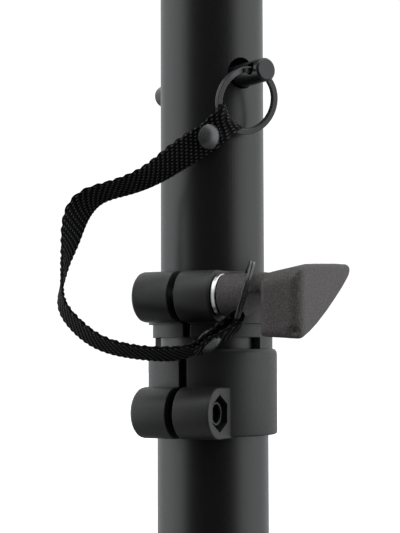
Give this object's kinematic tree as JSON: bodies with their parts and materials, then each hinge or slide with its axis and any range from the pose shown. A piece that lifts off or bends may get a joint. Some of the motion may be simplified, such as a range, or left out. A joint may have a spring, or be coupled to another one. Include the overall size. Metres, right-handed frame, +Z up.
{
  "type": "music stand clamp joint",
  "caption": "Telescopic tube joint of a folding music stand: two black tubes, split clamp collar with turning lever, and a safety pin tethered by riveted webbing",
  "frame": {"origin": "centre of the lower tube's bottom end, on the axis of both tubes", "axes": "+Z up along the tubes, +X along the clamp screws towards the lever, -Y towards the open side of the split clamp"},
  "size_m": [0.0827, 0.0684, 0.245],
  "materials": {
    "tube_coat": "satin black powder coat on steel tube",
    "collar_coat": "satin black coat on a die cast collar",
    "lever_plastic": "fine grained brown black moulded plastic",
    "glide_plastic": "black moulded nylon",
    "zinc_steel": "zinc plated steel",
    "dark_steel": "black oxide steel",
    "nylon_insert": "off white nylon locking ring",
    "black_pin": "black plated steel",
    "ring_steel": "nickel plated flat wire",
    "webbing": "black woven nylon webbing",
    "rivet_dark": "black lacquered rivet",
    "rivet_bright": "nickel plated rivet"
  },
  "bodies": {
    "root": {"outer_tube": "tube_coat", "clamp_collar": "collar_coat", "lever_washer": "zinc_steel", "stud_nut": "dark_steel", "lower_clamp_screw": "dark_steel", "lower_lock_nut": "dark_steel", "lock_nut_insert": "nylon_insert", "strap_c": "webbing"},
    "inner_tube": {"inner_tube": "tube_coat", "inner_tube_glide": "glide_plastic", "strap_b": "webbing"},
    "lever": {"clamp_lever": "lever_plastic", "lever_stud": "zinc_steel"},
    "pin": {"safety_pin": "black_pin"},
    "pin_ring": {"pin_ring": "ring_steel", "strap_a": "webbing", "upper_rivet_cap": "rivet_dark", "upper_rivet_post": "rivet_dark"},
    "lever_ring": {"lever_ring": "ring_steel", "strap_d": "webbing", "lower_rivet_cap": "rivet_bright", "lower_rivet_post": "rivet_bright"}
  },
  "joints": [
    {"name": "height_slide", "type": "slide", "parent": "root", "child": "inner_tube", "axis": [0, 0, 1], "range_m": [-0.026, 0.025], "deforming": ["strap_b", "strap_c"]},
    {"name": "lever_turn", "type": "hinge", "parent": "root", "child": "lever", "pos_m": [0.02, -0.0234, 0.10887], "axis": [1, 0, 0], "range_deg": [-25, 180]},
    {"name": "pin_pull", "type": "slide", "parent": "inner_tube", "child": "pin", "axis": [0.8822, -0.4709, 0], "range_m": [0, 0.035], "deforming": ["strap_a"]},
    {"name": "pin_ring_swing", "type": "hinge", "parent": "pin", "child": "pin_ring", "pos_m": [0.02364, -0.01262, 0.18195], "axis": [-0.4513, -0.8446, 0.2882], "range_deg": [-3, 30]},
    {"name": "lever_ring_swing", "type": "hinge", "parent": "root", "child": "lever_ring", "pos_m": [0.0227, -0.0234, 0.10887], "axis": [1, 0, 0], "range_deg": [-10, 6], "deforming": ["strap_d"]}
  ]
}
